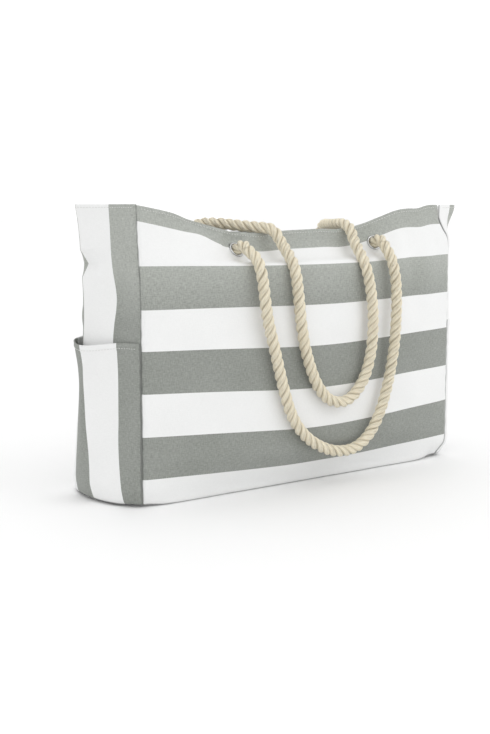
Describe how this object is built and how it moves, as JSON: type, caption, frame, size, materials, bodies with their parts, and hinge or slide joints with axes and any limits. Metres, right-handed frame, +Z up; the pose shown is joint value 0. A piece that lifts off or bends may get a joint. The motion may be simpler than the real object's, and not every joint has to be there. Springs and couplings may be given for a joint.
{
  "type": "beach bag",
  "caption": "Large striped canvas beach bag with bowed ends, end pockets, a sagging open top and rope handles knotted through metal eyelets.",
  "frame": {"origin": "centre of the base's underside, where the bag stands", "axes": "+Z up, -Y towards the front panel, +X towards the right end as seen from the front"},
  "size_m": [0.5996, 0.2315, 0.37],
  "materials": {
    "striped_canvas": "plain weave canvas in white and heather grey stripes, matt",
    "base_canvas": "plain weave white canvas, matt",
    "lining": "thin plain woven lining, matt",
    "rope": "three-strand natural cotton rope, matt and fibrous",
    "eyelet_metal": "polished nickel plate"
  },
  "bodies": {
    "bag": {"front_panel": "striped_canvas", "back_panel": "striped_canvas", "left_gusset": "striped_canvas", "right_gusset": "striped_canvas", "base_panel": "base_canvas", "left_pocket": "striped_canvas", "right_pocket": "striped_canvas", "lining_front": "lining", "lining_back": "lining", "lining_left": "lining", "lining_right": "lining", "lining_base": "lining", "front_left_eyelet": "eyelet_metal", "front_right_eyelet": "eyelet_metal", "back_left_eyelet": "eyelet_metal", "back_right_eyelet": "eyelet_metal", "front_left_washer": "eyelet_metal", "front_right_washer": "eyelet_metal", "back_left_washer": "eyelet_metal", "back_right_washer": "eyelet_metal", "front_left_knot": "rope", "front_right_knot": "rope", "back_left_knot": "rope", "back_right_knot": "rope"},
    "front_rope_ends": {"front_left_rope": "rope", "front_right_rope": "rope"},
    "front_handle": {"front_handle_rope": "rope"},
    "back_rope_ends": {"back_left_rope": "rope", "back_right_rope": "rope"},
    "back_handle": {"back_handle_rope": "rope"}
  },
  "joints": [
    {"name": "front_handle_lift", "type": "hinge", "parent": "bag", "child": "front_rope_ends", "pos_m": [-0.00147, -0.08901, 0.32049], "axis": [-0.9989, 0.0188, -0.0433], "range_deg": [0, 120]},
    {"name": "front_handle_unbend", "type": "hinge", "parent": "front_rope_ends", "child": "front_handle", "pos_m": [0.0015, -0.1125, 0.307], "axis": [-0.9998, 0.0044, -0.0176], "range_deg": [0, 60]},
    {"name": "back_handle_lift", "type": "hinge", "parent": "bag", "child": "back_rope_ends", "pos_m": [0, 0.03432, 0.31423], "axis": [-1, 0, 0], "range_deg": [0, 90]},
    {"name": "back_handle_unbend", "type": "hinge", "parent": "back_rope_ends", "child": "back_handle", "pos_m": [0.009, -0.08, 0.34], "axis": [-1, 0, 0], "range_deg": [0, 90]}
  ],
  "couplings": [
    {"joint": "front_handle_unbend", "follows": "front_handle_lift", "ratio": 0.5},
    {"joint": "back_handle_unbend", "follows": "back_handle_lift", "ratio": 1}
  ]
}
